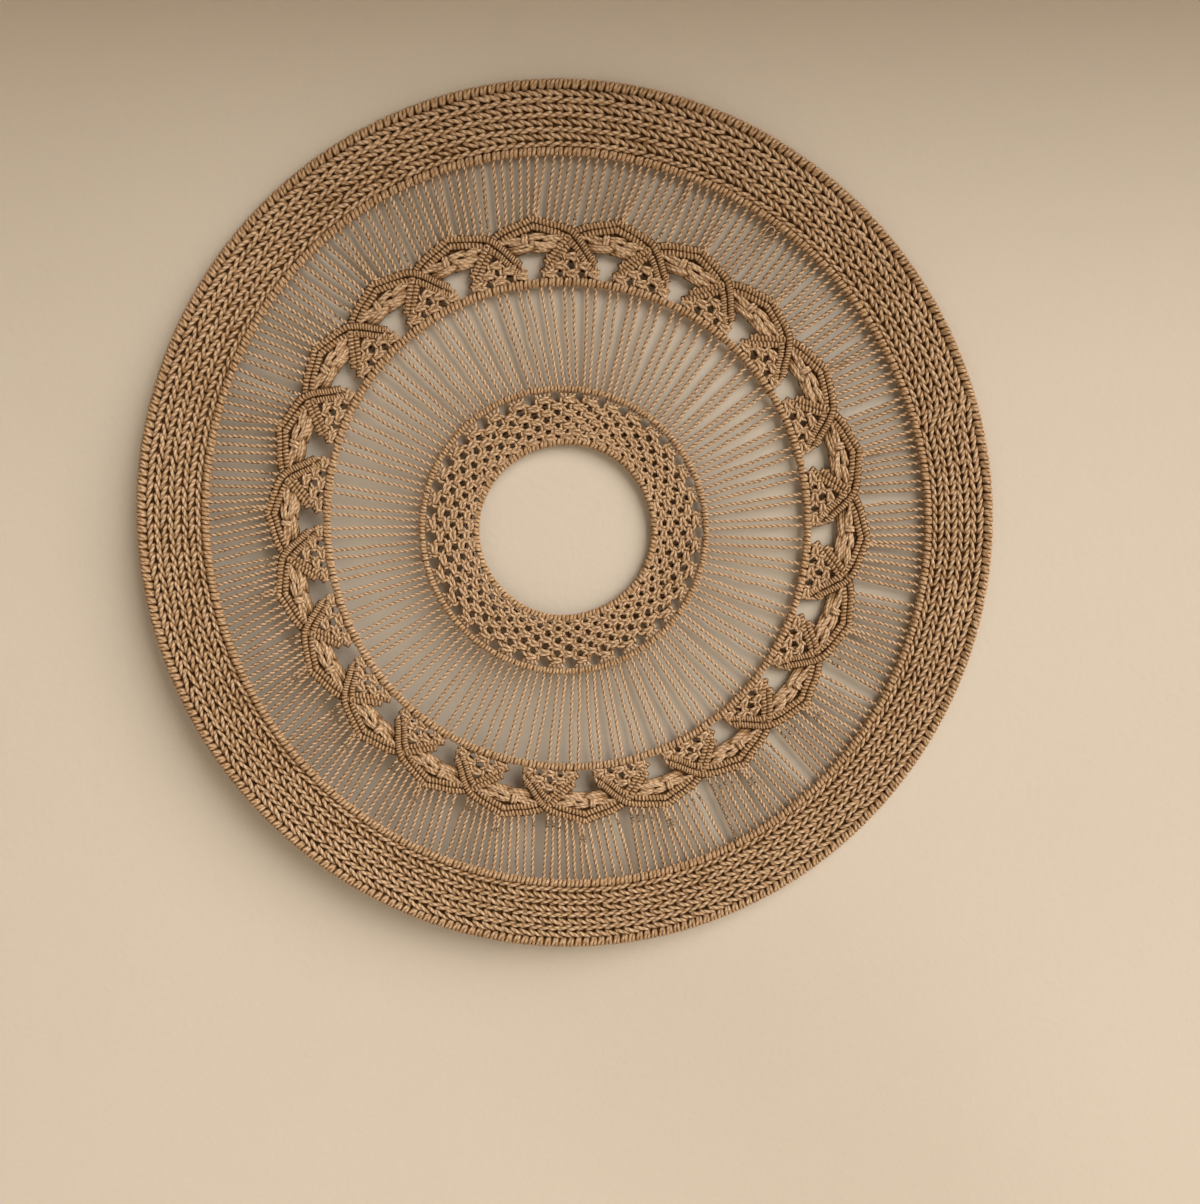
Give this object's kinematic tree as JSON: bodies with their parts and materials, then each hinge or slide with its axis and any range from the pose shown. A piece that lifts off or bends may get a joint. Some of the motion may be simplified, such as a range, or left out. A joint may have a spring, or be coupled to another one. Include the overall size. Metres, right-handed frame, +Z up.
{
  "type": "macrame dreamcatcher on cord-covered hoops",
  "caption": "Round openwork wall hanging of knotted twisted cord on concentric cord-covered hoops, with a chain-stitch border, a scalloped band, free cords and an open eye.",
  "frame": {"origin": "hanging point: top of the rim, in the middle of its thickness", "axes": "+Z up along the wall, the front faces -Y, +X to the right seen from the front"},
  "size_m": [0.6992, 0.0098, 0.7],
  "materials": {
    "hoop_cord": "matte twisted tan cord, wrapped",
    "chain_cord": "matte twisted tan cord, chain-stitched",
    "petal_cord": "matte twisted tan cord, knotted",
    "net_cord": "matte twisted tan cord, netted"
  },
  "bodies": {
    "root": {"hoop_rim": "hoop_cord", "chain_band": "chain_cord", "hoop_chain": "hoop_cord", "petal_band": "petal_cord", "hoop_petal": "hoop_cord", "hoop_spoke": "hoop_cord", "knot_net": "net_cord", "hoop_eye": "hoop_cord"}
  },
  "joints": []
}
